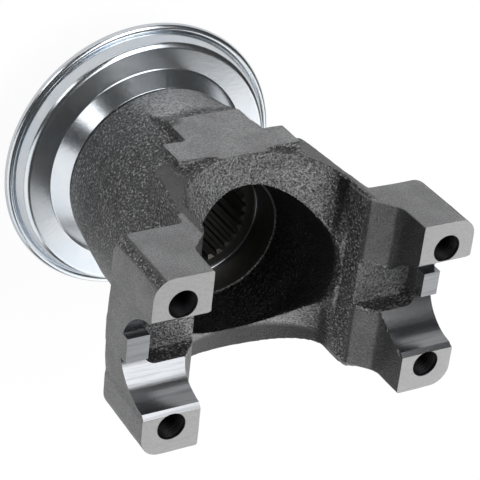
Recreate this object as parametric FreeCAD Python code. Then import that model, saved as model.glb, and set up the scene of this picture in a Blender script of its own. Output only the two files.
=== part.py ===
import FreeCAD, Part
import math
import os

from FreeCAD import Vector as V

os.makedirs("parts", exist_ok=True)

# Pinion yoke of a drive shaft's universal joint: an iron casting with two ears that hold the
# joint's bearing caps in half-round seats, and a pressed-steel dust shield seated on its hub.
# Millimetres. X runs along the bearing caps, Z up along the pinion, and Z = 0 is the hub's end.
# A drop is a depth below the machined strap faces, and a half width is named with its axis.

# Heights of the whole, measured up from the end of the hub.
ear_top = 135.0          # machined strap faces
shoulder_z = 34.2        # step of the hub that the shield rests against
journal_len = 22.0       # ground length that the oil seal runs on

# Strap faces, bolt holes and bearing seats.
cap_d = 30.2             # bearing cap of the joint
cap_span = 92.1          # between the two locating tangs, over the joint's caps
bolt_span_x = 86.2
bolt_span_y = 40.9
bolt_hole_d = 8.9        # tapped 3/8-24
bolt_hole_depth = 33.0
seat_lead = 1.3          # chamfer along the seats
tang_w = 8.2
tang_drop = 11.4         # top of the tangs

# Ears: boss blocks with cast outboard corners.
ear_out_x = 52.3         # outboard side of each boss
ear_side_y = 29.3        # flats across the bosses
boss_depth = 25.4        # height of the boss blocks
boss_round = 6.0         # outboard corners
boss_foot = 4.0          # slope under the bosses
side_relief = 0.5        # the ear's side is set in between its bosses
side_crown = 1.3         # and swells there on the left ear
boss_in_x = 34.2         # inboard edge of the strap faces
boss_in_drop = 12.2      # where the inboard side swings in
boss_in_round = 6.0
column_x = 27.5          # inboard side of the boss columns under that swing
column_drop = 19.2
column_round = 3.0
column_foot_x = 26.0     # where the columns run out in the throat
column_foot_drop = 26.5

# Cast relief under each bearing seat.
relief_w = 15.0
relief_drop = 20.0
relief_round = 3.5

# Throat between the ears: a U-shaped opening that widens toward both sides.
throat_in_x = 24.6       # half width at the middle
throat_out_x = 27.6      # half width at the outer outline
throat_in_drop = 34.6    # its bottom at the middle
throat_out_drop = 49.6   # its bottom at the outer outline
throat_sweep = 15.2      # height of the rounded bottom
throat_reach = 41.0      # distance of the outer outline from the middle

# Nut pocket and splined bore.
pocket_rim_d = 51.2
pocket_top_drop = 16.0
pocket_mid_drop = 44.0
pocket_d = 43.2
pocket_drop = 58.8
counterbore_d = 42.0
counterbore_foot_d = 41.0
nut_seat_drop = 69.2
spline_count = 30
spline_minor_d = 31.2
spline_major_d = 33.0
spline_tip = 0.34        # share of the pitch that a tooth's tip takes
spline_root = 0.32       # share that a groove's floor takes
spline_lead = 1.2

# Hub and the skin that flares from it to the ears.
hub_d = 68.8
hub_foot_d = 62.4
hub_foot_z = 36.0        # top of the small chamfer above the shoulder
hub_foot_chamfer = 1.6
hub_top_z = 59.0
flare_top_x = 51.4
flare_top_y = 24.0
flare_mid_x = 37.6
flare_mid_y = 32.3
flare_mid_drop = 55.5

# Wrench pads and the ribs along the throat.
pad_y = 34.9
pad_w = 41.0
pad_top_drop = 49.3
pad_foot_drop = 60.2
pad_stem_w = 25.4
pad_stem_drop = 73.0     # where the stem starts to sink into the hub
pad_stem_fade = 12.0
rib_top_x = 30.2
rib_mid_x = 28.0
rib_mid_drop = 37.0
rib_low_x = 25.1
rib_low_drop = 57.0
rib_draft = 4.0          # how much wider the ribs are at their root
rib_crown = 3.0          # their outline's reach beyond the pads

# Machined rear end.
journal_d = 48.0
journal_lead = 2.0
journal_chamfer = 1.2
shield_seat_d = 54.0
shield_seat_lead = 0.8
rear_bore_d = 35.4
rear_bore_len = 9.0
rear_bore_chamfer = 2.0

# Dust shield: a sheet stamping with a collar, a flat band, a step and a rolled rim.
sheet_t = 1.5
shield_fit = 0.1
collar_top_r = 30.6
band_z = 29.0
band_in_r = 35.0
band_out_r = 43.4
step_out_r = 45.6
rim_z = 23.2
shield_d = 96.0
bead_r = 1.5
bead_sides = 5           # corners of the bead's section
bead_turn = 220.0        # degrees that the bead is rolled
sheet_bend = 1.1         # reach of each bend along the sheet

slack = 2.0              # how far cutters and hidden overlaps run past the metal
near = 0.01


def z_down(drop):
    """Height of a point at a given drop."""
    return ear_top - drop


def box(x0, x1, y0, y1, z0, z1):
    return Part.makeBox(x1 - x0, y1 - y0, z1 - z0, V(x0, y0, z0))


def turned(points):
    """Solid of revolution about Z from (radius, height) points."""
    wire = Part.makePolygon([V(r, 0, z) for r, z in points + points[:1]])
    return Part.Face(wire).revolve(V(0, 0, 0), V(0, 0, 1), 360)


def with_mirror(shape, normal):
    return shape.fuse(shape.mirror(V(0, 0, 0), normal))


def ellipse_wire(half_x, half_y, z):
    centre = V(0, 0, z)
    ellipse = Part.Ellipse(centre + V(half_x, 0, 0), centre + V(0, half_y, 0), centre)
    return Part.Wire(ellipse.toShape())


def rounded_path(points, radii):
    """Edges of an open path through (x, z) points, its corners rounded in turn."""
    pts = [V(x, 0, z) for x, z in points]
    edges, start = [], pts[0]
    for i, radius in enumerate(radii, 1):
        a = (pts[i - 1] - pts[i]).normalize()
        b = (pts[i + 1] - pts[i]).normalize()
        half = a.getAngle(b) / 2
        run = radius / math.tan(half)
        crown = pts[i] + (a + b).normalize() * (radius / math.sin(half) - radius)
        bend_in, bend_out = pts[i] + a * run, pts[i] + b * run
        edges.append(Part.makeLine(start, bend_in))
        edges.append(Part.Arc(bend_in, crown, bend_out).toShape())
        start = bend_out
    edges.append(Part.makeLine(start, pts[-1]))
    return edges


def ear_block(crown):
    """Boss block of one ear: cast corners, a sloped underside and a set-in or swelling side."""
    foot_z = z_down(boss_depth + boss_foot)
    block = box(0, ear_out_x, -ear_side_y, ear_side_y, foot_z, ear_top)
    corners = [
        e for e in block.Edges if e.BoundBox.ZLength > boss_depth and e.BoundBox.XMin > ear_out_x - near
    ]
    block = block.makeFillet(boss_round, corners)
    under = [
        e for e in block.Edges if e.BoundBox.ZMax < foot_z + near and e.BoundBox.XMax > near
    ]
    block = block.makeChamfer(boss_foot - near, under)
    half = cap_d / 2 + seat_lead
    side_x = ear_out_x - side_relief
    block = block.cut(box(side_x, ear_out_x + slack, -half, half, foot_z - slack, ear_top + slack))
    if crown > 0:
        r = (half ** 2 + crown ** 2) / (2 * crown)
        swell = Part.makeCylinder(r, boss_depth, V(side_x + crown - r, 0, z_down(boss_depth)))
        swell = swell.common(box(side_x - slack, ear_out_x + slack, -half, half, foot_z, ear_top))
        block = block.fuse(swell)
    return block


def flare():
    """Skin that runs in one curve from the round hub out to the two ears."""
    rings = [
        Part.Wire(Part.Circle(V(0, 0, hub_top_z), V(0, 0, 1), hub_d / 2).toShape()),
        ellipse_wire(flare_mid_x, flare_mid_y, z_down(flare_mid_drop)),
        ellipse_wire(flare_top_x, flare_top_y, z_down(boss_depth)),
    ]
    return Part.makeLoft(rings, True, False)


def hub():
    """Tapered cast barrel above the shield's shoulder."""
    foot, top = hub_foot_d / 2, hub_d / 2
    return turned([
        (0, shoulder_z), (foot - hub_foot_chamfer, shoulder_z), (foot, hub_foot_z),
        (top, hub_top_z), (0, hub_top_z),
    ])


def wrench_pads():
    """Flat T-shaped pads on both sides of the hub, their stems sinking into it."""
    cross = box(-pad_w / 2, pad_w / 2, -pad_y, pad_y, z_down(pad_foot_drop), z_down(pad_top_drop))
    top, end = z_down(pad_foot_drop) + slack, z_down(pad_stem_drop)
    low, low_y = end - pad_stem_fade, hub_foot_d / 2
    side = [(pad_y, top), (pad_y, end), (low_y, low), (-low_y, low), (-pad_y, end), (-pad_y, top)]
    face = Part.Face(Part.makePolygon([V(-pad_stem_w / 2, y, z) for y, z in side + side[:1]]))
    return cross.fuse(face.extrude(V(pad_stem_w, 0, 0)))


def rib_outline(y, grow):
    side = [
        (boss_in_x, boss_in_drop), (rib_top_x, boss_depth), (rib_mid_x, rib_mid_drop),
        ((rib_mid_x + rib_low_x) / 2, pad_top_drop), (rib_low_x, rib_low_drop),
    ]
    right = [V(x + grow, y, z_down(drop)) for x, drop in side]
    left = [V(-p.x, p.y, p.z) for p in reversed(right)]
    return Part.makePolygon(right + left + right[:1])


def arch_ribs():
    """Drafted ribs along the throat, crowned from the boss flats up to the pads."""
    rib = Part.makeLoft([rib_outline(0, rib_draft), rib_outline(pad_y + rib_crown, 0)], True, True)
    rise = pad_y - ear_side_y
    crown_r = (rib_top_x ** 2 + rise ** 2) / (2 * rise)
    crown = Part.makeCylinder(crown_r, ear_top, V(0, pad_y - crown_r, 0))
    return with_mirror(rib.common(crown), V(0, 1, 0))


def throat_outline(y, half, drop):
    """Closed U at one distance from the middle plane: straight sides on half an ellipse."""
    top, centre = z_down(column_drop) + slack, V(0, y, z_down(drop - throat_sweep))
    right, low = centre + V(half, 0, 0), centre - V(0, 0, throat_sweep)
    left = centre - V(half, 0, 0)
    bottom = Part.Ellipse(right, low, centre)
    bottom = bottom.toShape(bottom.parameter(right), bottom.parameter(left))
    return Part.Wire([
        bottom, Part.makeLine(left, V(-half, y, top)),
        Part.makeLine(V(-half, y, top), V(half, y, top)), Part.makeLine(V(half, y, top), right),
    ])


def throat():
    """U-shaped opening between the ears, drafted toward both sides, under the ears' wider gap."""
    inner = throat_outline(0, throat_in_x, throat_in_drop)
    outer = throat_outline(throat_reach, throat_out_x, throat_out_drop)
    slot = with_mirror(Part.makeLoft([inner, outer], True, True), V(0, 1, 0))
    top, foot = ear_top + slack, z_down(column_foot_drop)
    side = rounded_path(
        [(boss_in_x, top), (boss_in_x, z_down(boss_in_drop)), (column_x, z_down(column_drop)),
         (column_foot_x, foot)],
        [boss_in_round, column_round],
    )
    side.append(Part.makeLine(V(column_foot_x, 0, foot), V(0, 0, foot)))
    side.append(Part.makeLine(V(0, 0, foot), V(0, 0, top)))
    side.append(Part.makeLine(V(0, 0, top), V(boss_in_x, 0, top)))
    gap = Part.Face(Part.Wire(side)).extrude(V(0, 2 * throat_reach, 0))
    gap.translate(V(0, -throat_reach, 0))
    return slot.fuse(with_mirror(gap, V(1, 0, 0)))


def nut_pocket():
    """Cast funnel, machined counterbore and the flat that the pinion nut bears on."""
    rim, waist, step = pocket_rim_d / 2, pocket_d / 2, z_down(pocket_drop)
    funnel = turned([
        (0, step), (waist, step), (rim, z_down(pocket_mid_drop)),
        (rim, z_down(pocket_top_drop)), (0, z_down(pocket_top_drop)),
    ])
    seat = z_down(nut_seat_drop)
    bore = turned([
        (0, seat), (counterbore_foot_d / 2, seat), (counterbore_d / 2, step), (0, step),
    ])
    return funnel.fuse(bore)


def spline_outline(z):
    """Outline of the splined hole, one tooth tip and one groove to each pitch."""
    pitch = 2 * math.pi / spline_count
    corners = []
    for i in range(spline_count):
        for d, middle, share in (
                (spline_minor_d, i, spline_tip), (spline_major_d, i + 0.5, spline_root)):
            for turns in (middle - share / 2, middle + share / 2):
                a = turns * pitch
                corners.append(V(d / 2 * math.cos(a), d / 2 * math.sin(a), z))
    return Part.makePolygon(corners + corners[:1])


def splined_bore():
    """Internal splines, with a lead chamfer at the nut seat and a plain bore at the rear."""
    major, seat = spline_major_d / 2, z_down(nut_seat_drop)
    grooves = Part.Face(spline_outline(-slack)).extrude(V(0, 0, seat + 2 * slack))
    lead = turned([
        (0, seat - spline_lead), (major - spline_lead, seat - spline_lead),
        (major + slack, seat + slack), (0, seat + slack),
    ])
    rear = rear_bore_d / 2
    plain = turned([
        (0, -slack), (rear + rear_bore_chamfer + slack, -slack), (rear, rear_bore_chamfer),
        (rear, rear_bore_len), (0, rear_bore_len + rear),
    ])
    return grooves.fuse([lead, plain])


def rear_end():
    """Ground seal journal and the larger step that centres the shield."""
    r, seat = journal_d / 2, shield_seat_d / 2
    return turned([
        (0, 0), (r - journal_chamfer, 0), (r, journal_lead), (r, journal_len),
        (seat - shield_seat_lead, journal_len), (seat, journal_len + shield_seat_lead),
        (seat, shoulder_z + slack), (0, shoulder_z + slack),
    ])


def seat_cutter():
    """Half-round bearing seats with their lead chamfers, leaving the locating tangs."""
    reach, half = ear_out_x + slack, cap_d / 2
    bore = Part.makeCylinder(half, 2 * reach, V(-reach, 0, ear_top), V(1, 0, 0))
    lead = [
        (-half - seat_lead - slack, slack), (-half, -seat_lead), (half, -seat_lead),
        (half + seat_lead + slack, slack),
    ]
    face = Part.Face(Part.makePolygon([V(-reach, y, ear_top + z) for y, z in lead + lead[:1]]))
    cutter = bore.fuse(face.extrude(V(2 * reach, 0, 0)))
    tang = box(cap_span / 2, reach + slack, -tang_w / 2, tang_w / 2, z_down(cap_d), z_down(tang_drop))
    return cutter.cut(with_mirror(tang, V(1, 0, 0)))


def seat_reliefs():
    """Cast recesses under the bearing seats, open toward the throat."""
    end_x = cap_span / 2
    slot = box(0, end_x, -relief_w / 2, relief_w / 2, z_down(relief_drop), ear_top)
    ends = [
        e for e in slot.Edges if e.BoundBox.XMin > end_x - near and e.BoundBox.YLength < near
    ]
    slot = slot.makeFillet(relief_round, ends)
    return with_mirror(slot, V(1, 0, 0))


def bolt_holes():
    holes = []
    for x in (-bolt_span_x / 2, bolt_span_x / 2):
        for y in (-bolt_span_y / 2, bolt_span_y / 2):
            foot = V(x, y, z_down(bolt_hole_depth))
            holes.append(Part.makeCylinder(bolt_hole_d / 2, bolt_hole_depth + slack, foot))
    return holes[0].fuse(holes[1:])


def yoke_casting():
    left_ear = ear_block(side_crown).mirror(V(0, 0, 0), V(1, 0, 0))
    body = hub().fuse([flare(), ear_block(0), left_ear, arch_ribs(), wrench_pads(), rear_end()])
    for cutter in (throat, seat_cutter, seat_reliefs, nut_pocket, splined_bore, bolt_holes):
        body = body.cut(cutter())
    return body.removeSplitter()


def bent_sheet(points):
    """Points of a sheet's upper side, with each bend drawn as one flat across its corner."""
    out = [points[0]]
    for before, corner, after in zip(points, points[1:], points[2:]):
        for other in (before, after):
            reach = sheet_bend / math.dist(corner, other)
            out.append(tuple(c + reach * (o - c) for c, o in zip(corner, other)))
    return out + [points[-1]]


def dust_shield():
    """Stamping turned from one sheet thickness, with a bead rolled round its rim."""
    inner = shield_seat_d / 2 + shield_fit
    bead_z = rim_z - sheet_t / 2
    bead_mid = shield_d / 2 - bead_r
    bead_root = bead_mid - math.sqrt(bead_r ** 2 - (sheet_t / 2) ** 2)
    upper = bent_sheet([
        (inner, shoulder_z), (collar_top_r, shoulder_z), (band_in_r, band_z),
        (band_out_r, band_z), (step_out_r, rim_z), (bead_root, rim_z),
    ])
    bead = []
    for i in range(bead_sides):
        a = math.radians(bead_turn) * (0.5 - i / (bead_sides - 1))
        bead.append((bead_mid + bead_r * math.cos(a), bead_z + bead_r * math.sin(a)))
    lower = [
        (bead_root, rim_z - sheet_t), (step_out_r - sheet_t, rim_z - sheet_t),
        (band_out_r - sheet_t, band_z - sheet_t), (band_in_r - sheet_t / 2, band_z - sheet_t),
        (collar_top_r - sheet_t / 2, shoulder_z - sheet_t), (inner, shoulder_z - sheet_t),
    ]
    return turned(upper + bead + lower)


def main():
    yoke_casting().exportStep("parts/yoke_casting.step")
    dust_shield().exportStep("parts/dust_shield.step")


main()
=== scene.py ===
"""Looks of a pinion yoke: a rough iron casting with machined faces, and a zinc-plated shield."""

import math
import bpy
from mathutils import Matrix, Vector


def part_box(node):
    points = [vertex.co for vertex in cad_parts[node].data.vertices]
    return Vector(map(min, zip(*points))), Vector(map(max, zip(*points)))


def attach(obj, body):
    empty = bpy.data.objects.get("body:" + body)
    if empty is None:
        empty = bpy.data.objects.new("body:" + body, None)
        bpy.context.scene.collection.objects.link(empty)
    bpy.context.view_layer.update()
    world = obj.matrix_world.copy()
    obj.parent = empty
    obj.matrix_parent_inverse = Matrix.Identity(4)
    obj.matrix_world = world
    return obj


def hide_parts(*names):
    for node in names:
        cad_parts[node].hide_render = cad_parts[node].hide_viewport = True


bl_info = {
    "name": "Pinion Yoke",
    "version": (1, 0, 0),
    "blender": (4, 5, 0),
    "location": "View3D > Sidebar > Pinion Yoke",
    "description": "Casts and machines a pinion yoke, presses its dust shield and lights it",
    "category": "Object",
}

import bmesh
import bpy
from bpy.props import FloatProperty, FloatVectorProperty, IntProperty, PointerProperty
from bpy.types import Operator, Panel, PropertyGroup
from mathutils import Vector

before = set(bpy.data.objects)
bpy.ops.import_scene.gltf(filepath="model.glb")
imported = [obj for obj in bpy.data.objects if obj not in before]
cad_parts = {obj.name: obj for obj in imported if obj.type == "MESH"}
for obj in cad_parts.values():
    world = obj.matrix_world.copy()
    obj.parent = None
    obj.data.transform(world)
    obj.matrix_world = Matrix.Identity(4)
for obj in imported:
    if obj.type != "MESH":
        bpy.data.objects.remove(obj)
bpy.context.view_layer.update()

MM = 0.001
SAME_PLACE = 0.001 * MM
FINE_STEPS, ROUND_STEPS, TAP_STEPS, ROD_SIDES = 160, 128, 40, 64
CAST_CREASE, SHEET_CREASE = math.radians(32), math.radians(50)
EAR_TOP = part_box("yoke_casting")[1][2]
FINISH_ORDER = (
    "cast_skin", "milled_face", "bored_seat", "tapped_thread", "turned_bore", "ground_journal",
)

# Distances along an axis between which the cast skin's look changes
PAD_Y, BOSS_Y = 34.9 * MM, 29.3 * MM
ON_FLAT = (0.3 * MM, 0.6 * MM)
STEM_END_X, STEM_END_Z = (-13 * MM, -6 * MM), (63 * MM, 67 * MM)
BOSS_FOOT_Z, EAR_SIDE_X = (104 * MM, 106 * MM), (45 * MM, 47 * MM)
FLANK_FOOT_Z, OUTWARD = (80 * MM, 84 * MM), (3 * MM, 7 * MM)
EAR_INNER_X, BESIDE_SEAT_Y = (26.8 * MM, 27.8 * MM), (8 * MM, 9.5 * MM)
EAR_ROOT_Z, THROAT_TOP_Z = (105 * MM, 110 * MM), (104 * MM, 108 * MM)
FAR_SILL_Y, HUB_TOP_Z, CREST_Z = (-27 * MM, -23 * MM), (53 * MM, 58 * MM), (70 * MM, 80 * MM)
INWARD = (-18 * MM, -12 * MM)

# Tones that darken or grade the finishes; the tones for sloped and for steep inboard faces and for
# the cored pocket are painted light and shade
PORE, SMOOTH, PAINTED_SLOPE_LIGHT, PAINTED_WALL_SHADE = (
    (0.045, 0.045, 0.044), (0.13, 0.13, 0.132), (0.24, 0.24, 0.243), (0.06, 0.06, 0.061),
)
# The third tone here is painted shade for the cored pocket and the far sill.
GRIT, DULL, PAINTED_SHADE = (0.07, 0.07, 0.07), (0.05, 0.05, 0.05), (0.012, 0.012, 0.013)
MILL_MARK, SEAT_STREAK, SEAT_STAIN = (0.36, 0.36, 0.355), (0.17, 0.175, 0.185), (0.15, 0.155, 0.165)
OIL, BORE_STAIN, GRIND_RING = (0.008, 0.008, 0.01), (0.12, 0.115, 0.11), (0.42, 0.42, 0.425)
ZINC_TINT = (0.66, 0.71, 0.765)


def length(name, mm, text):
    """A length that a user may change, given in millimetres."""
    return FloatProperty(
        name=name, description=text, default=mm * MM, subtype="DISTANCE", unit="LENGTH"
    )


def colour(name, rgb, text):
    """A colour that a user may change."""
    return FloatVectorProperty(
        name=name, description=text, default=rgb, size=3, min=0, max=1, subtype="COLOR"
    )


class YokeCastingSizes(PropertyGroup):
    """Sizes of the casting's skin and of its machining."""

    grid: length("Skin Grid", 0.5, "Size of the cells that the cast skin is remeshed with")
    rounding: IntProperty(
        name="Rounding", description="Smoothing passes that round the cast edges", default=3, min=0
    )
    skin_triangles: IntProperty(
        name="Skin Triangles", description="Triangles that the cast skin keeps", default=150000,
        min=1000,
    )
    wave: length("Skin Wave", 0.25, "Height of the slow waves of the cast skin")
    wave_len: length("Skin Wave Length", 9.0, "Length of those waves")
    stock: length("Stock", 3.0, "Metal left on the cast faces for machining")
    seat_d: length("Seat Diameter", 30.2, "Diameter of the bearing seats")
    seat_lead: length("Seat Lead", 1.3, "Chamfer along the bearing seats")
    cap_span: length("Cap Span", 92.1, "Distance between the locating tangs")
    tang_w: length("Tang Width", 8.2, "Width of the locating tangs")
    tang_drop: length("Tang Drop", 11.4, "Depth of the tangs' tops below the strap faces")
    bolt_x: length("Bolt Spacing X", 86.2, "Spacing of the strap bolts from ear to ear")
    bolt_y: length("Bolt Spacing Y", 40.9, "Spacing of the strap bolts across an ear")
    thread_minor: length("Thread Minor Diameter", 8.5, "Inner diameter of the tapped threads")
    thread_major: length("Thread Major Diameter", 9.3, "Outer diameter of the tapped threads")
    thread_pitch: length("Thread Pitch", 1.06, "Pitch of the tapped threads")
    hole_depth: length("Hole Depth", 33.0, "Depth of the tapped holes")
    plug_len: length("Plug Length", 28.4, "How far down the holes are filled before tapping")
    nut_seat_drop: length("Nut Seat Drop", 69.2, "Depth of the nut seat below the strap faces")
    bore_top_drop: length("Bore Top Drop", 58.8, "Depth of the counterbore's rim below them")
    bore_d: length("Counterbore Diameter", 42.0, "Diameter of the machined counterbore")
    bore_foot_d: length("Counterbore Foot", 41.0, "Its diameter at the nut seat")
    foot_fillet: length("Foot Fillet", 0.7, "Radius of the fillet between them")
    spline_minor: length("Spline Minor Diameter", 31.2, "Diameter over the spline's teeth")
    spline_major: length("Spline Major Diameter", 33.0, "Diameter over the spline's grooves")
    spline_count: IntProperty(
        name="Spline Teeth", description="Teeth of the spline", default=30, min=6
    )
    rear_d: length("Rear Bore", 35.4, "Diameter of the plain bore at the rear")
    rear_len: length("Rear Bore Length", 9.0, "Length of the plain bore at the rear")
    journal_d: length("Journal Diameter", 48.0, "Diameter of the ground seal journal")
    journal_len: length("Journal Length", 22.0, "Length of the ground seal journal")
    shield_seat_d: length("Shield Seat", 54.0, "Diameter that the shield is pressed on")
    shoulder_z: length("Shoulder Height", 34.2, "Height of the step that the shield rests against")
    seam_z: length("Seam Height", 51.2, "Height of the mould's seam round the hub")
    seam_r: length("Seam Radius", 33.3, "Radius of the hub at that seam")
    seam: length("Seam", 0.35, "How far the seam stands out before the skin is rounded")
    relief_y: length("Relief Half Width", 7.5, "Half the width of the reliefs under the seats")
    relief_drop: length("Relief Drop", 20.0, "Depth of those reliefs below the strap faces")
    relief_fillet: length("Relief Fillet", 1.8, "Reach of the cast fillets along their floors")


class YokeShieldSizes(PropertyGroup):
    """Sizes of the pressed dust shield."""

    sheet: length("Sheet", 1.5, "Thickness of the sheet")
    seat_d: length("Seat Diameter", 54.2, "Diameter of the hole in its collar")
    collar_z: length("Collar Height", 34.2, "Height of the collar's top")
    collar_r: length("Collar Radius", 30.6, "Radius where the collar turns down")
    band_in_r: length("Band Inner Radius", 35.0, "Radius where the flat band starts")
    band_out_r: length("Band Outer Radius", 43.4, "Radius where the flat band ends")
    band_z: length("Band Height", 29.0, "Height of the flat band")
    step_r: length("Step Radius", 45.6, "Radius at the foot of the step")
    rim_z: length("Rim Height", 23.2, "Height of the rim's trough")
    rim_d: length("Rim Diameter", 96.0, "Outer diameter of the rolled rim")
    bead_r: length("Bead Radius", 1.5, "Radius of the rolled rim")
    bend: length("Bend", 1.6, "Reach of the outer bends along the sheet")
    collar_bend: length("Collar Bend", 0.32, "Reach of the bend at the foot of the collar")
    collar_lip: length("Collar Lip", 0.12, "Reach of the bend at the top of the collar")
    steps: IntProperty(name="Steps", description="Facets round the shield", default=180, min=24)


class YokeFinishes(PropertyGroup):
    """Colours of the finishes."""

    cast: colour("Cast Skin", (0.145, 0.145, 0.143), "Rough cast iron")
    # This tone also serves as the painted highlight on the crests, the hub top and sharp edges.
    glint: colour("Cast Glint", (0.5, 0.5, 0.505), "Bright grains of the cast skin")
    flat: colour("Cast Flat", (0.44, 0.443, 0.452), "Smoother flats of the cast skin")
    milled: colour("Milled Iron", (0.53, 0.53, 0.53), "Milled strap faces")
    bored: colour("Bored Iron", (0.27, 0.278, 0.29), "Bored bearing seats")
    bore: colour("Turned Bore", (0.15, 0.147, 0.14), "Counterbore and spline")
    # This near-black tone is oil, and also painted shade inside the holes.
    thread: colour("Tapped Thread", (0.02, 0.02, 0.022), "Oiled thread walls")
    journal: colour("Ground Steel", (0.56, 0.56, 0.56), "Ground seal journal")
    zinc: colour("Zinc Plate", (0.72, 0.755, 0.785), "Bright zinc plating")


class YokeStage(PropertyGroup):
    """Camera, floor and lamps."""

    camera_place: FloatVectorProperty(
        name="Camera Place", description="Where the camera stands", size=3, subtype="TRANSLATION",
        default=(-0.23986, 0.27462, 0.47444),
    )
    camera_turn: FloatVectorProperty(
        name="Camera Turn", description="How the camera is turned", size=3, subtype="EULER",
        default=(math.radians(-33.8712), math.radians(-28.5151), math.radians(6.4185)),
    )
    lens: FloatProperty(
        name="Lens", description="Focal length in millimetres", default=130.63, min=1
    )
    floor_size: length("Floor Size", 6000.0, "Side of the floor")
    floor_tone: colour("Floor Colour", (0.86, 0.86, 0.86), "Pale floor")
    sky: FloatProperty(
        name="Sky", description="Strength of the even light all round", default=0.04, min=0
    )
    floor_glow: FloatProperty(
        name="Floor Glow", description="How white the floor is mirrored", default=0.35, min=0
    )
    lamp: FloatProperty(
        name="Lamps", description="Overall strength of the lamps", default=1.0, min=0
    )


class Wire:
    """An output socket that Python's operators extend with Math nodes."""

    def __init__(self, finish, socket):
        self.finish, self.socket = finish, socket

    def of(self, name):
        """Another output of the same node."""
        return Wire(self.finish, self.socket.node.outputs[name])

    def _math(self, kind, a, b=0.0):
        """A Math node of one kind, on two wires or numbers."""
        return self.finish.node("ShaderNodeMath", {"operation": kind}, {0: a, 1: b})

    def __add__(self, other):
        return self._math("ADD", self, other)

    def __sub__(self, other):
        return self._math("SUBTRACT", self, other)

    def __rsub__(self, other):
        return self._math("SUBTRACT", other, self)

    def __mul__(self, other):
        return self._math("MULTIPLY", self, other)

    def __abs__(self):
        return self._math("ABSOLUTE", self)

    __radd__, __rmul__ = __add__, __mul__

    def ramp(self, low, high, to_low=0.0, to_high=1.0):
        """The value moved smoothly from one range to another."""
        return self.finish.node(
            "ShaderNodeMapRange", {"interpolation_type": "SMOOTHSTEP"},
            {"Value": self, "From Min": low, "From Max": high, "To Min": to_low, "To Max": to_high},
        )


class Finish:
    """One procedural material."""

    def __init__(self, name):
        self.material = bpy.data.materials.new(name)
        self.material.use_nodes = True
        self.tree = self.material.node_tree
        self.tree.nodes.clear()
        self.place = self.node("ShaderNodeTexCoord").of("Object")

    def node(self, kind, settings=None, sockets=None):
        """A node of one type, its settings first, then its sockets' values or links."""
        made = self.tree.nodes.new(kind)
        for key, value in (settings or {}).items():
            setattr(made, key, value)
        for key, value in (sockets or {}).items():
            if isinstance(value, Wire):
                self.tree.links.new(value.socket, made.inputs[key])
            else:
                made.inputs[key].default_value = value
        return Wire(self, made.outputs[0]) if made.outputs else None

    def noise(self, size, detail=2.0, roughness=0.5, stretch=(1, 1, 1)):
        """Noise with grains of about one size, in metres, stretched along the axes."""
        spread = self.node(
            "ShaderNodeMapping", {"vector_type": "TEXTURE"},
            {"Vector": self.place, "Scale": stretch},
        )
        return self.node(
            "ShaderNodeTexNoise", {},
            {"Vector": spread, "Scale": 1 / size, "Detail": detail, "Roughness": roughness},
        )

    def mix(self, share, a, b):
        """A colour between two others."""
        def rgba(c):
            return c if isinstance(c, Wire) else (*c, 1)

        return self.node(
            "ShaderNodeMix", {"data_type": "RGBA"}, {"Factor": share, 6: rgba(a), 7: rgba(b)}
        ).of(2)

    def bump(self, height, distance, strength):
        """A bumpy normal, its height between 0 and a distance in metres."""
        sockets = {"Height": height, "Distance": distance, "Strength": strength}
        return self.node("ShaderNodeBump", {}, sockets)

    def surface(self, **sockets):
        """Ends the material in one Principled shader."""
        names = {key.replace("_", " "): value for key, value in sockets.items()}
        shader = self.node("ShaderNodeBsdfPrincipled", {}, names)
        self.node("ShaderNodeOutputMaterial", {}, {"Surface": shader})
        return self.material


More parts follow.
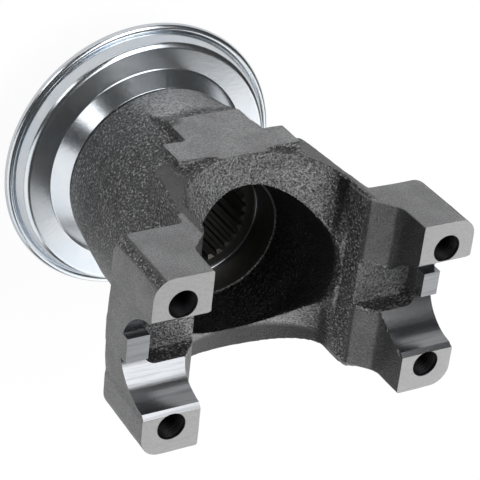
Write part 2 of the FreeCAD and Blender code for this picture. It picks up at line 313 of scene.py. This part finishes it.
def cast_skin(tones):
    """Sand-cast iron: glinting grains, finer where the mould was smooth, palest on its flats;
    painted highlight on crests, the hub top and rubbed edges, and painted shade on the steep
    inboard walls, the cored pocket and the far sill.
    """
    f = Finish("cast_skin")
    turn = f.node("ShaderNodeSeparateXYZ", {}, {0: f.node("ShaderNodeTexCoord").of("Normal")})
    place = f.node("ShaderNodeSeparateXYZ", {}, {0: f.place})
    x, y, z = abs(place), place.of("Y"), place.of("Z")
    upright = abs(turn.of("Y"))
    outward = turn * place
    stem_end = 1 - place.ramp(*STEM_END_X, 1, 0) * z.ramp(*STEM_END_Z, 1, 0)
    pad = abs(abs(y) - PAD_Y).ramp(*ON_FLAT, 1, 0) * stem_end
    boss = abs(abs(y) - BOSS_Y).ramp(*ON_FLAT, 1, 0) * z.ramp(*BOSS_FOOT_Z)
    outer = abs(turn).ramp(0.7, 0.9) * x.ramp(*EAR_SIDE_X)
    pale = (pad + boss * 0.72 + outer * 0.6).ramp(0, 1)
    flank = upright.ramp(0.84, 0.92) * z.ramp(*FLANK_FOOT_Z) * outward.ramp(*OUTWARD)
    ear_side = x.ramp(*EAR_INNER_X) * abs(y).ramp(*BESIDE_SEAT_Y)
    inboard = outward.ramp(*INWARD, 1, 0) * ear_side
    throat = z.ramp(*THROAT_TOP_Z, 1, 0)
    # The far sill is smoother, and further down it is also darkened as painted shade.
    sill = y.ramp(*FAR_SILL_Y, 1, 0) * turn.of("Z").ramp(0.4, 0.6) * throat
    smooth = (pad + boss + outer + flank + inboard * z.ramp(*EAR_ROOT_Z) + sill).ramp(0, 1)
    # Painted highlight: the hub's upright sides low down and upward-facing faces high up, where the
    # light falls, get more bright grains.
    hub_top_painted_highlight = upright.ramp(0.86, 0.98) * z.ramp(*HUB_TOP_Z, 1, 0)
    crest_painted_highlight = (turn.of("Z").ramp(0.4, 0.9) * z.ramp(*CREST_Z) + hub_top_painted_highlight).ramp(0, 1)
    sloped = turn.of("Z").ramp(0.45, 0.65)
    # Painted shade: faces looking inwards inside the throat, the cored pocket.
    pocket_painted_shade = (outward + turn.of("Y") * y).ramp(*INWARD, 1, 0) * throat
    grain = f.noise(0.72 * MM, 1.5, 0.6)
    fine = f.noise(0.45 * MM, 1.0, 0.5)
    patch = f.noise(12 * MM, 2.0, 0.5)
    # Sharp edges, found by pointiness: partly rubbed bright, partly a painted highlight.
    worn_edge_and_highlight = f.node("ShaderNodeNewGeometry").of("Pointiness").ramp(0.54, 0.62)
    edge = worn_edge_and_highlight * grain.ramp(0.35, 0.6)
    glint = tuple(tones.glint)
    rough = f.mix(grain.ramp(0.34, 0.60), PORE, tuple(tones.cast))
    rough = f.mix(grain.ramp(0.56, 0.70), rough, glint)
    # Painted highlight: bright grains spread over the crests and the hub top.
    rough = f.mix(crest_painted_highlight * grain.ramp(0.15, 0.75), rough, glint)
    # Painted light and shade on the ears' inboard faces: lighter where they slope upwards, nearly
    # black where they stand steep.
    even = f.mix(inboard * sloped, SMOOTH, PAINTED_SLOPE_LIGHT)
    even = f.mix(inboard * (1 - sloped), even, PAINTED_WALL_SHADE)
    even = f.mix(pale, even, tuple(tones.flat))
    even = f.mix(fine.ramp(0.3, 0.7, 0.5, 0), even, GRIT)
    tone = f.mix(smooth * 0.9, rough, even)
    tone = f.mix(patch.ramp(0.35, 0.65, 0.0, 0.2), tone, DULL)
    # Rubbed edges brightened, which is also a painted highlight.
    tone = f.mix(edge * 0.8, tone, glint)
    # Painted shade: the cored pocket and the far sill are darkened nearly to black.
    tone = f.mix((pocket_painted_shade * 0.8 + sill * 0.6).ramp(0, 1), tone, PAINTED_SHADE)
    height = grain * (1.2 - smooth * 0.95) + fine * 0.5
    return f.surface(
        Base_Color=tone, Metallic=0.85 - pale * 0.35, Roughness=0.36 + pale * 0.14,
        Normal=f.bump(height, 0.9 * MM, 1.0),
    )


def milled_face(tones):
    """Milled iron with faint cutter marks."""
    f = Finish("milled_face")
    marks = f.noise(0.4 * MM, 2.0, 0.5, (6, 1, 1))
    speck = f.noise(0.9 * MM, 2.0, 0.6)
    share = marks.ramp(0.3, 0.7) * 0.25 + speck.ramp(0.4, 0.7) * 0.25
    tone = f.mix(share, tuple(tones.milled), MILL_MARK)
    return f.surface(
        Base_Color=tone, Metallic=0.6, Roughness=0.42 + speck * 0.1,
        Normal=f.bump(marks, 0.06 * MM, 0.6),
    )


def bored_seat(tones):
    """Bored seats, streaked along the bore."""
    f = Finish("bored_seat")
    streak = f.noise(1.1 * MM, 3.0, 0.6, (26, 1, 1))
    stain = f.noise(3 * MM, 2.0, 0.5, (5, 1, 1))
    tone = f.mix(streak.ramp(0.45, 0.72) * 0.55, tuple(tones.bored), SEAT_STREAK)
    tone = f.mix(stain.ramp(0.5, 0.75) * 0.35, tone, SEAT_STAIN)
    return f.surface(
        Base_Color=tone, Metallic=0.95, Roughness=0.16 + streak * 0.1,
        Normal=f.bump(streak, 0.05 * MM, 0.5),
    )


def tapped_thread(tones):
    """Dark threads with patches of oil; the thread tone is also darkened as painted shade inside
    the holes.
    """
    f = Finish("tapped_thread")
    oil = f.noise(2 * MM, 2.0, 0.5)
    tone = f.mix(oil.ramp(0.4, 0.7) * 0.5, tuple(tones.thread), OIL)
    return f.surface(Base_Color=tone, Metallic=0.7, Roughness=0.4 + oil * 0.15)


def turned_bore(tones):
    """Turned bore, with rings left by the tool."""
    f = Finish("turned_bore")
    rings = f.noise(0.5 * MM, 2.0, 0.5, (40, 40, 1))
    stain = f.noise(4 * MM, 3.0, 0.6)
    tone = f.mix(stain.ramp(0.4, 0.7) * 0.6, tuple(tones.bore), BORE_STAIN)
    return f.surface(
        Base_Color=tone, Metallic=0.85, Roughness=0.36 + stain * 0.1,
        Normal=f.bump(rings, 0.1 * MM, 0.5),
    )


def ground_journal(tones):
    """Ground steel with faint rings."""
    f = Finish("ground_journal")
    rings = f.noise(0.3 * MM, 2.0, 0.5, (60, 60, 1))
    tone = f.mix(rings.ramp(0.4, 0.7) * 0.3, tuple(tones.journal), GRIND_RING)
    return f.surface(
        Base_Color=tone, Metallic=0.95, Roughness=0.26 + rings * 0.08,
        Normal=f.bump(rings, 0.04 * MM, 0.4),
    )


def zinc_plate(tones):
    """Bright zinc plating, faintly mottled and tinted."""
    f = Finish("zinc_plate")
    mottle = f.noise(1.2 * MM, 3.0, 0.6)
    tint = f.noise(20 * MM, 3.0, 0.6)
    tone = f.mix(tint.ramp(0.42, 0.62), tuple(tones.zinc), ZINC_TINT)
    return f.surface(
        Base_Color=tone, Metallic=1.0, Roughness=0.17 + mottle * 0.08,
        Normal=f.bump(mottle, 0.05 * MM, 0.3),
    )


def release():
    """Leaves edit mode with nothing selected."""
    if bpy.context.mode != "OBJECT":
        bpy.ops.object.mode_set(mode="OBJECT")
    bpy.ops.object.select_all(action="DESELECT")


def take(piece):
    """Selects one object and makes it active."""
    release()
    piece.select_set(True)
    bpy.context.view_layer.objects.active = piece


def edit(piece, kind="VERT"):
    """Opens one object in edit mode with nothing selected."""
    take(piece)
    bpy.ops.object.mode_set(mode="EDIT")
    bpy.ops.mesh.select_mode(type=kind)
    bpy.ops.mesh.select_all(action="DESELECT")


def choose(piece, part, test):
    """Selects the vertices, edges or faces in edit mode that pass a test."""
    mesh = bmesh.from_edit_mesh(piece.data)
    count = 0
    for item in getattr(mesh, part):
        item.select_set(test(item))
        count += item.select
    mesh.select_flush_mode()
    bmesh.update_edit_mesh(piece.data)
    if not count:
        raise RuntimeError(f"{piece.name}: nothing was selected")


def finished(piece, kind, **settings):
    """Adds a modifier and applies it."""
    take(piece)
    modifier = piece.modifiers.new(kind.lower(), kind)
    for key, value in settings.items():
        setattr(modifier, key, value)
    bpy.ops.object.modifier_apply(modifier=modifier.name)


def arc(centre, r, start, end, count):
    """Points of an arc in the plane of an outline, its angles in degrees."""
    points = []
    for i in range(count + 1):
        a = math.radians(start + (end - start) * i / count)
        points.append((centre[0] + r * math.cos(a), centre[1] + r * math.sin(a)))
    return points


def trace(name, points, to_space, closed):
    """An outline drawn point by point, by extruding its last point."""
    release()
    bpy.ops.mesh.primitive_plane_add(size=MM, location=(0, 0, 0))
    piece = bpy.context.object
    piece.name = name
    edit(piece)
    bpy.ops.mesh.select_all(action="SELECT")
    bpy.ops.mesh.merge(type="CENTER")
    places = [Vector(to_space(*p)) for p in points]
    bpy.ops.transform.translate(value=places[0])
    for before, after in zip(places, places[1:]):
        bpy.ops.mesh.extrude_region_move(TRANSFORM_OT_translate={"value": after - before})
    bpy.ops.mesh.select_all(action="SELECT")
    if closed:
        bpy.ops.mesh.edge_face_add()
    return piece


def lathe(name, points, steps):
    """A closed shape spun round the pinion's axis from (radius, height) points."""
    if points[0][0] or points[-1][0]:
        points = points + points[:1]
    piece = trace(name, points, lambda r, z: (r, 0, z), False)
    bpy.ops.mesh.remove_doubles(threshold=SAME_PLACE)
    bpy.ops.mesh.spin(steps=steps, angle=math.tau, center=(0, 0, 0), axis=(0, 0, 1))
    tidy_shell()
    return piece


def tidy_shell():
    """Merges doubles and turns all faces outwards, in edit mode."""
    bpy.ops.mesh.select_all(action="SELECT")
    bpy.ops.mesh.remove_doubles(threshold=SAME_PLACE)
    bpy.ops.mesh.normals_make_consistent(inside=False)
    release()


def slab(name, low, high):
    """A block between two corners, its place kept in its mesh."""
    release()
    low, high = Vector(low), Vector(high)
    bpy.ops.mesh.primitive_cube_add(size=1, location=(low + high) / 2, scale=high - low)
    piece = bpy.context.object
    piece.name = name
    bpy.ops.object.transform_apply(location=True, rotation=True, scale=True)
    return piece


def rod(name, r, place, low, high, sides=ROD_SIDES):
    """An upright rod, its place kept in its mesh."""
    release()
    bpy.ops.mesh.primitive_cylinder_add(
        vertices=sides, radius=r, depth=high - low, location=(place[0], place[1], (low + high) / 2)
    )
    piece = bpy.context.object
    piece.name = name
    bpy.ops.object.transform_apply(location=True, rotation=True, scale=True)
    return piece


def joined(first, *others):
    """Joins objects into the first one."""
    take(first)
    for other in others:
        other.select_set(True)
    bpy.ops.object.join()
    return first


def dress(piece, finish):
    """Gives a piece every finish of the casting, and all its faces one of them."""
    piece.data.materials.clear()
    for name in FINISH_ORDER:
        piece.data.materials.append(bpy.data.materials[name])
    index = FINISH_ORDER.index(finish)
    for face in piece.data.polygons:
        face.material_index = index


def cut(piece, cutter, finish):
    """Machines a piece with a cutter, whose finish stays on the cut faces."""
    dress(cutter, finish)
    finished(piece, "BOOLEAN", operation="DIFFERENCE", object=cutter, solver="MANIFOLD")
    bpy.data.objects.remove(cutter, do_unlink=True)


def bolt_places(s):
    """The centres of the four strap bolts, seen from above."""
    return [(x * s.bolt_x / 2, y * s.bolt_y / 2) for x in (-1, 1) for y in (-1, 1)]


class YOKE_OT_finishes(Operator):
    """Mixes the casting's and the shield's finishes"""

    bl_idname = "yoke.finishes"
    bl_label = "Mix Finishes"

    def execute(self, context):
        tones = context.scene.yoke_finishes
        for make in (
            cast_skin, milled_face, bored_seat, tapped_thread, turned_bore, ground_journal,
            zinc_plate,
        ):
            make(tones)
        return {"FINISHED"}


class YOKE_OT_rough_casting(Operator):
    """Casts the yoke with rounded edges, a wavy skin and stock on the faces to machine"""

    bl_idname = "yoke.rough_casting"
    bl_label = "Cast Yoke"

    def execute(self, context):
        s = context.scene.yoke_casting
        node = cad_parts["yoke_casting"]
        casting = bpy.data.objects.new("rough_yoke", node.data.copy())
        context.scene.collection.objects.link(casting)
        edit(casting)
        bpy.ops.mesh.select_all(action="SELECT")
        bpy.ops.mesh.remove_doubles(threshold=SAME_PLACE)
        self.raise_stock(casting, s)
        plugs = [
            rod("plug", s.thread_major / 2, place, EAR_TOP - s.plug_len, EAR_TOP + s.stock)
            for place in bolt_places(s)
        ]
        below, bore_wall, seat_wall = -2 * MM, 0.6 * MM, 2 * MM
        top = EAR_TOP - s.bore_top_drop
        plugs.append(rod("plug", s.bore_d / 2 + bore_wall, (0, 0), below, top, ROUND_STEPS))
        top = s.shoulder_z + MM
        plugs.append(rod("plug", s.shield_seat_d / 2 + seat_wall, (0, 0), below, top, ROUND_STEPS))
        r, z = s.seam_r, s.seam_z
        seam = [(r - MM, z - MM), (r + s.seam, z), (r - MM, z + MM)]
        plugs.append(lathe("seam", seam, FINE_STEPS))
        plugs += [self.relief_fillet(s, side) for side in (-1, 1)]
        casting = joined(casting, *plugs)
        grid = s.grid * 1
        finished(casting, "REMESH", mode="VOXEL", voxel_size=grid)
        finished(casting, "SMOOTH", factor=0.5, iterations=s.rounding)
        waves = bpy.data.textures.new("skin_wave", "CLOUDS")
        waves.noise_scale = s.wave_len
        finished(
            casting, "DISPLACE", texture=waves, texture_coords="LOCAL", strength=s.wave,
            mid_level=0.5,
        )
        triangles = 2 * len(casting.data.polygons)
        if triangles > s.skin_triangles:
            finished(casting, "DECIMATE", ratio=s.skin_triangles / triangles)
        dress(casting, "cast_skin")
        return {"FINISHED"}

    def relief_fillet(self, s, side):
        """Metal in the corner between the reliefs' floor and one of their walls, in both ears."""
        y, z, f = side * s.relief_y, EAR_TOP - s.relief_drop, s.relief_fillet
        outer, inner, below = y + side * MM, y - side * f, z - MM
        points = [(outer, below), (inner, below), (inner, z)]
        points += arc((inner, z + f), f, -90, -90 + 90 * side, 6)[1:] + [(outer, z + f)]
        start, end = 30 * MM, s.cap_span / 2 - MM
        fillets = []
        for x in (-end, start):
            fillets.append(trace("fillet", points, lambda y, z: (x, y, z), True))
            bpy.ops.mesh.extrude_region_move(TRANSFORM_OT_translate={"value": (end - start, 0, 0)})
            tidy_shell()
        return joined(*fillets)

    def raise_stock(self, casting, s):
        """Raises the strap faces, seats and tangs straight up, as metal to machine away."""
        seat_r, tang_x = s.seat_d / 2, s.cap_span / 2
        flat_r = seat_r + s.seat_lead * 1.5
        throat_x = 20 * MM
        facing_up, barely_up = 0.5, 0.03

        def to_machine(face):
            c, n = face.calc_center_median(), face.normal
            if c.z > EAR_TOP - 0.05 * MM:
                return n.z > facing_up
            if abs(c.x) < throat_x or c.z < EAR_TOP - seat_r - 0.1 * MM:
                return False
            r = math.hypot(c.y, c.z - EAR_TOP)
            on_seat = seat_r - 0.2 * MM < r < flat_r and n.z > barely_up
            on_tang = r < seat_r and abs(c.x) > tang_x + 0.01 * MM
            return on_seat or on_tang

        edit(casting, "FACE")
        choose(casting, "faces", to_machine)
        bpy.ops.mesh.extrude_region_move(TRANSFORM_OT_translate={"value": (0, 0, 2 * MM)})
        bpy.ops.transform.resize(value=(1, 1, 0), center_override=(0, 0, EAR_TOP + s.stock))
        release()


class YOKE_OT_machine(Operator):
    """Mills the strap faces, bores the seats, taps the holes and turns the hub"""

    bl_idname = "yoke.machine"
    bl_label = "Machine Casting"

    def execute(self, context):
        s = context.scene.yoke_casting
        piece = bpy.data.objects["rough_yoke"]
        reach = 70 * MM
        mill = slab("mill", (-reach, -reach, EAR_TOP), (reach, reach, EAR_TOP + 20 * MM))
        cut(piece, mill, "milled_face")
        cut(piece, self.seat_cutter(s), "bored_seat")
        cut(piece, self.tap(s), "tapped_thread")
        cut(piece, self.broach(s), "turned_bore")
        cut(piece, self.bore_cutter(s), "turned_bore")
        cut(piece, self.foot_cutter(s), "bored_seat")
        cut(piece, self.turning_cutter(s), "ground_journal")
        take(piece)
        bpy.ops.object.shade_smooth_by_angle(angle=CAST_CREASE)
        piece.name = piece.data.name = "yoke_machined"
        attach(piece, "root")
        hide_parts("yoke_casting")
        return {"FINISHED"}

    def seat_cutter(self, s):
        """Both bearing seats with their chamfers, notched round the locating tangs."""
        r, lead, over = s.seat_d / 2, s.seat_lead, 4 * MM
        tilt = math.degrees(math.asin(lead / r))
        points = [(-r - lead - over, over)] + arc((0, 0), r, 180 + tilt, 360 - tilt, 72)
        points.append((r + lead + over, over))
        reach = 60 * MM
        cutter = trace("seats", points, lambda y, z: (-reach, y, EAR_TOP + z), True)
        bpy.ops.mesh.extrude_region_move(TRANSFORM_OT_translate={"value": (2 * reach, 0, 0)})
        tidy_shell()
        for side in (-1, 1):
            x = sorted((side * s.cap_span / 2, side * (reach + MM)))
            y, low, high = s.tang_w / 2, EAR_TOP - s.seat_d, EAR_TOP - s.tang_drop
            cut(cutter, slab("tang", (x[0], -y, low), (x[1], y, high)), "bored_seat")
        return cutter

    def tap(self, s):
        """The four tapped holes, their threads drawn as close rings over a drilled point."""
        minor, major, pitch = s.thread_minor / 2, s.thread_major / 2, s.thread_pitch
        chamfer, over, point = 0.2 * MM, 3 * MM, minor * 0.6
        foot = -s.hole_depth
        points = [(0, foot), (minor, foot + point)]
        z = foot + point + pitch
        while z < -pitch:
            points += [(minor, z), (major, z + pitch / 2)]
            z += pitch
        points += [
            (minor, z), (minor, -chamfer), (minor + chamfer, 0), (minor + chamfer, over), (0, over),
        ]
        first = lathe("tap", points, TAP_STEPS)
        holes = []
        for x, y in bolt_places(s):
            hole = first.copy()
            hole.data = first.data.copy()
            bpy.context.scene.collection.objects.link(hole)
            hole.location = (x, y, EAR_TOP)
            take(hole)
            bpy.ops.object.transform_apply(location=True, rotation=True, scale=True)
            holes.append(hole)
        bpy.data.objects.remove(first, do_unlink=True)
        return joined(*holes)

    def broach(self, s):
        """The splined hole, its grooves pulled out from a round one."""
        share = 6
        count, over, below = s.spline_count, 2 * MM, 5 * MM
        release()
        bpy.ops.mesh.primitive_circle_add(
            vertices=share * count, radius=s.spline_minor / 2, fill_type="NGON",
            location=(0, 0, -below),
        )
        piece = bpy.context.object
        bpy.ops.object.transform_apply(location=True, rotation=True, scale=True)
        edit(piece)
        pitch = math.tau / count

        def in_groove(v):
            turn = (math.atan2(v.co.y, v.co.x) / pitch + 0.5 / share) % 1
            return turn > 0.5

        choose(piece, "verts", in_groove)
        wider = s.spline_major / s.spline_minor
        bpy.ops.transform.resize(value=(wider, wider, 1), center_override=(0, 0, 0))
        bpy.ops.mesh.select_all(action="SELECT")
        rise = EAR_TOP - s.nut_seat_drop + over + below
        bpy.ops.mesh.extrude_region_move(TRANSFORM_OT_translate={"value": (0, 0, rise)})
        tidy_shell()
        return piece

    def bore_cutter(self, s):
        """Counterbore, nut seat, lead chamfer and the plain bore at the rear."""
        minor, major, rear = s.spline_minor / 2, s.spline_major / 2, s.rear_d / 2
        seat, top, lead = EAR_TOP - s.nut_seat_drop, EAR_TOP - s.bore_top_drop, 1.2 * MM
        foot, fillet = s.bore_foot_d / 2, s.foot_fillet
        front = lathe("front", [
            (0, seat - lead), (major - lead, seat - lead), (major, seat),
            *arc((foot - fillet, seat + fillet), fillet, -90, -3, 5), (s.bore_d / 2, top),
            (s.bore_d / 2, top + MM), (0, top + MM),
        ], FINE_STEPS)
        end, chamfer, below = s.rear_len + rear - minor, 2 * MM, -5 * MM
        back = lathe("back", [
            (0, below), (rear + 3 * chamfer, below), (rear + chamfer, 0), (rear, chamfer),
            (rear, s.rear_len), (minor - 0.1 * MM, end), (0, end),
        ], FINE_STEPS)
        return joined(front, back)

    def foot_cutter(self, s):
        """A hair more off the fillet round the nut seat, left bright by the tool's tip."""
        f, hair = s.foot_fillet, 0.04 * MM
        centre = (s.bore_foot_d / 2 - f, EAR_TOP - s.nut_seat_drop + f)
        return lathe("foot", arc(centre, f + hair, 0, 345, 23), FINE_STEPS)

    def turning_cutter(self, s):
        """Everything outside the journal and the shield's seat."""
        journal, seat, far, below = s.journal_d / 2, s.shield_seat_d / 2, 45 * MM, -6 * MM
        chamfer, lead, narrowing = 0.8 * MM, 2 * MM, 1.2 * MM
        return lathe("turning", [
            (0, below), (far, below), (far, s.shoulder_z), (seat, s.shoulder_z),
            (seat, s.journal_len + chamfer), (seat - chamfer, s.journal_len),
            (journal, s.journal_len), (journal, lead), (journal - narrowing, 0), (0, 0),
        ], FINE_STEPS)


class YOKE_OT_dust_shield(Operator):
    """Spins the dust shield from one sheet, with true bends and a rolled rim"""

    bl_idname = "yoke.dust_shield"
    bl_label = "Press Shield"

    def execute(self, context):
        s = context.scene.yoke_shield
        t, hole, rim = s.sheet, s.seat_d / 2, s.rim_d / 2
        bead_mid, bead_z = rim - s.bead_r, s.rim_z - t / 2
        tilt = math.degrees(math.asin(t / 2 / s.bead_r))
        bead_root = bead_mid - s.bead_r * math.cos(math.radians(tilt))
        upper = [
            (hole, s.collar_z), (s.collar_r, s.collar_z), (s.band_in_r, s.band_z),
            (s.band_out_r, s.band_z), (s.step_r, s.rim_z), (bead_root, s.rim_z),
        ]
        lower = [
            (bead_root, s.rim_z - t), (s.step_r - t, s.rim_z - t), (s.band_out_r - t, s.band_z - t),
            (s.band_in_r - t / 2, s.band_z - t), (s.collar_r - t / 2, s.collar_z - t),
            (hole, s.collar_z - t),
        ]
        bead = arc((bead_mid, bead_z), s.bead_r, 180 - tilt, -180 + tilt, 20)[1:-1]
        outline = upper + bead + lower + upper[:1]
        shield = trace("shield", outline, lambda r, z: (r, 0, z), False)
        bpy.ops.mesh.remove_doubles(threshold=SAME_PLACE)
        self.bend(shield, upper[1:2] + lower[4:5], s.collar_lip)
        self.bend(shield, upper[2:3] + lower[3:4], s.collar_bend)
        self.bend(shield, upper[3:5] + lower[1:3], s.bend)
        bpy.ops.mesh.select_all(action="SELECT")
        bpy.ops.mesh.spin(steps=s.steps, angle=math.tau, center=(0, 0, 0), axis=(0, 0, 1))
        tidy_shell()
        take(shield)
        bpy.ops.object.shade_smooth_by_angle(angle=SHEET_CREASE)
        shield.name = shield.data.name = "shield_pressed"
        shield.data.materials.clear()
        shield.data.materials.append(bpy.data.materials["zinc_plate"])
        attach(shield, "root")
        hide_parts("dust_shield")
        return {"FINISHED"}

    def bend(self, shield, points, reach):
        """Rounds some corners of the sheet's outline."""
        corners = [Vector((r, 0, z)) for r, z in points]
        bpy.ops.mesh.select_all(action="DESELECT")
        choose(shield, "verts", lambda v: min((v.co - c).length for c in corners) < 0.01 * MM)
        bpy.ops.mesh.bevel(affect="VERTICES", offset=reach, segments=7, profile=0.5)


class YOKE_OT_stage(Operator):
    """Lays a pale floor, hangs soft lamps and sets the camera"""

    bl_idname = "yoke.stage"
    bl_label = "Set Stage"

    def execute(self, context):
        s = context.scene.yoke_stage
        scene = context.scene
        scene.view_settings.view_transform = "Standard"
        release()
        bpy.ops.mesh.primitive_plane_add(size=s.floor_size, location=(0, 0, 0))
        floor = context.object
        floor.name = "floor"
        floor.data.materials.append(self.floor_paint(s))
        self.sky(scene, s)
        # Name, bearing, height angle, distance, shift aside, width, height and glow of each panel
        for name, turn, rise, *sizes, glow in (
            ("softbox", 138, 18, 1.0, 0, 0.3, 0.55, 2.4),
            ("overhead", 90, 57, 1.2, 0.29, 0.64, 1.1, 3.6),
            ("table_left", 216, 26, 1.3, 0, 1.9, 1.1, 1.05),
            ("table_right", 305, 24, 1.3, 0, 1.6, 1.3, 1.4),
            ("table_far", 308, 59, 1.3, 0, 0.5, 0.45, 0.45),
            ("backdrop", 90, 9, 1.2, 0, 1.2, 0.3, 1.15),
        ):
            self.lamp(name, math.radians(turn), math.radians(rise), *sizes, glow * s.lamp)
        release()
        bpy.ops.object.camera_add(location=s.camera_place, rotation=s.camera_turn)
        camera = context.object
        full_frame, near, far = 36, 0.01, 50
        camera.data.sensor_width, camera.data.lens = full_frame, s.lens
        camera.data.clip_start, camera.data.clip_end = near, far
        scene.camera = camera
        return {"FINISHED"}

    def floor_paint(self, s):
        """Pale paint, brighter to the camera and to mirrored rays than to the rest."""
        f = Finish("floor_paint")
        white_glow, seen_share = 1.08, 0.85
        rays = f.node("ShaderNodeLightPath")
        matte = f.node("ShaderNodeBsdfDiffuse", {}, {"Color": (*s.floor_tone, 1)})
        white = f.node("ShaderNodeEmission", {}, {"Strength": white_glow})
        share = rays * seen_share + rays.of("Is Glossy Ray") * s.floor_glow
        shader = f.node("ShaderNodeMixShader", {}, {0: share, 1: matte, 2: white})
        f.node("ShaderNodeOutputMaterial", {}, {"Surface": shader})
        return f.material

    def sky(self, scene, s):
        """A white backdrop to the camera, and a weak even light to the rest."""
        world = bpy.data.worlds.new("sky")
        scene.world = world
        world.use_nodes = True
        tree = world.node_tree
        tree.nodes.clear()
        rays = tree.nodes.new("ShaderNodeLightPath")
        mix, out = tree.nodes.new("ShaderNodeMixShader"), tree.nodes.new("ShaderNodeOutputWorld")
        tree.links.new(rays.outputs["Is Camera Ray"], mix.inputs[0])
        for socket, strength in ((1, s.sky), (2, 1.0)):
            light = tree.nodes.new("ShaderNodeBackground")
            light.inputs["Color"].default_value = (1, 1, 1, 1)
            light.inputs["Strength"].default_value = strength
            tree.links.new(light.outputs[0], mix.inputs[socket])
        tree.links.new(mix.outputs[0], out.inputs["Surface"])

    def lamp(self, name, turn, rise, reach, aside, wide, high, glow):
        """A soft panel that faces the yoke's middle, moved aside, as bright as its glow."""
        aim = Vector((0, 0, 60 * MM))
        level = math.cos(rise)
        away = Vector((math.cos(turn) * level, math.sin(turn) * level, math.sin(rise)))
        side = Vector((math.sin(turn), -math.cos(turn), 0)) * aside
        release()
        bpy.ops.object.light_add(
            type="AREA", location=aim + away * reach + side,
            rotation=(-away).to_track_quat("-Z", "Y").to_euler(),
        )
        lamp = bpy.context.object
        lamp.name = name
        lamp.data.shape, lamp.data.size, lamp.data.size_y = "RECTANGLE", wide, high
        lamp.data.energy = glow * math.pi * wide * high


class YOKE_PT_panel(Panel):
    """Sizes, colours and steps of the pinion yoke"""

    bl_label = "Pinion Yoke"
    bl_idname = "YOKE_PT_panel"
    bl_space_type = "VIEW_3D"
    bl_region_type = "UI"
    bl_category = "Pinion Yoke"

    def draw(self, context):
        """The steps as buttons, then every size and colour."""
        for step in STEPS:
            self.layout.operator(step.bl_idname)
        for group in GROUPS:
            column = self.layout.column(align=True)
            settings = getattr(context.scene, group)
            for name in settings.bl_rna.properties.keys():
                if name not in ("rna_type", "name"):
                    column.prop(settings, name)


GROUPS = {
    "yoke_casting": YokeCastingSizes, "yoke_shield": YokeShieldSizes, "yoke_finishes": YokeFinishes,
    "yoke_stage": YokeStage,
}
STEPS = (
    YOKE_OT_finishes, YOKE_OT_rough_casting, YOKE_OT_machine, YOKE_OT_dust_shield, YOKE_OT_stage,
)


def register():
    for cls in (*GROUPS.values(), *STEPS, YOKE_PT_panel):
        bpy.utils.register_class(cls)
    for name, cls in GROUPS.items():
        setattr(bpy.types.Scene, name, PointerProperty(type=cls))


def unregister():
    for name in GROUPS:
        delattr(bpy.types.Scene, name)
    for cls in reversed((*GROUPS.values(), *STEPS, YOKE_PT_panel)):
        bpy.utils.unregister_class(cls)


def main():
    register()
    bpy.ops.yoke.finishes()
    bpy.ops.yoke.rough_casting()
    bpy.ops.yoke.machine()
    bpy.ops.yoke.dust_shield()
    bpy.ops.yoke.stage()


if __name__ == "__main__":
    main()
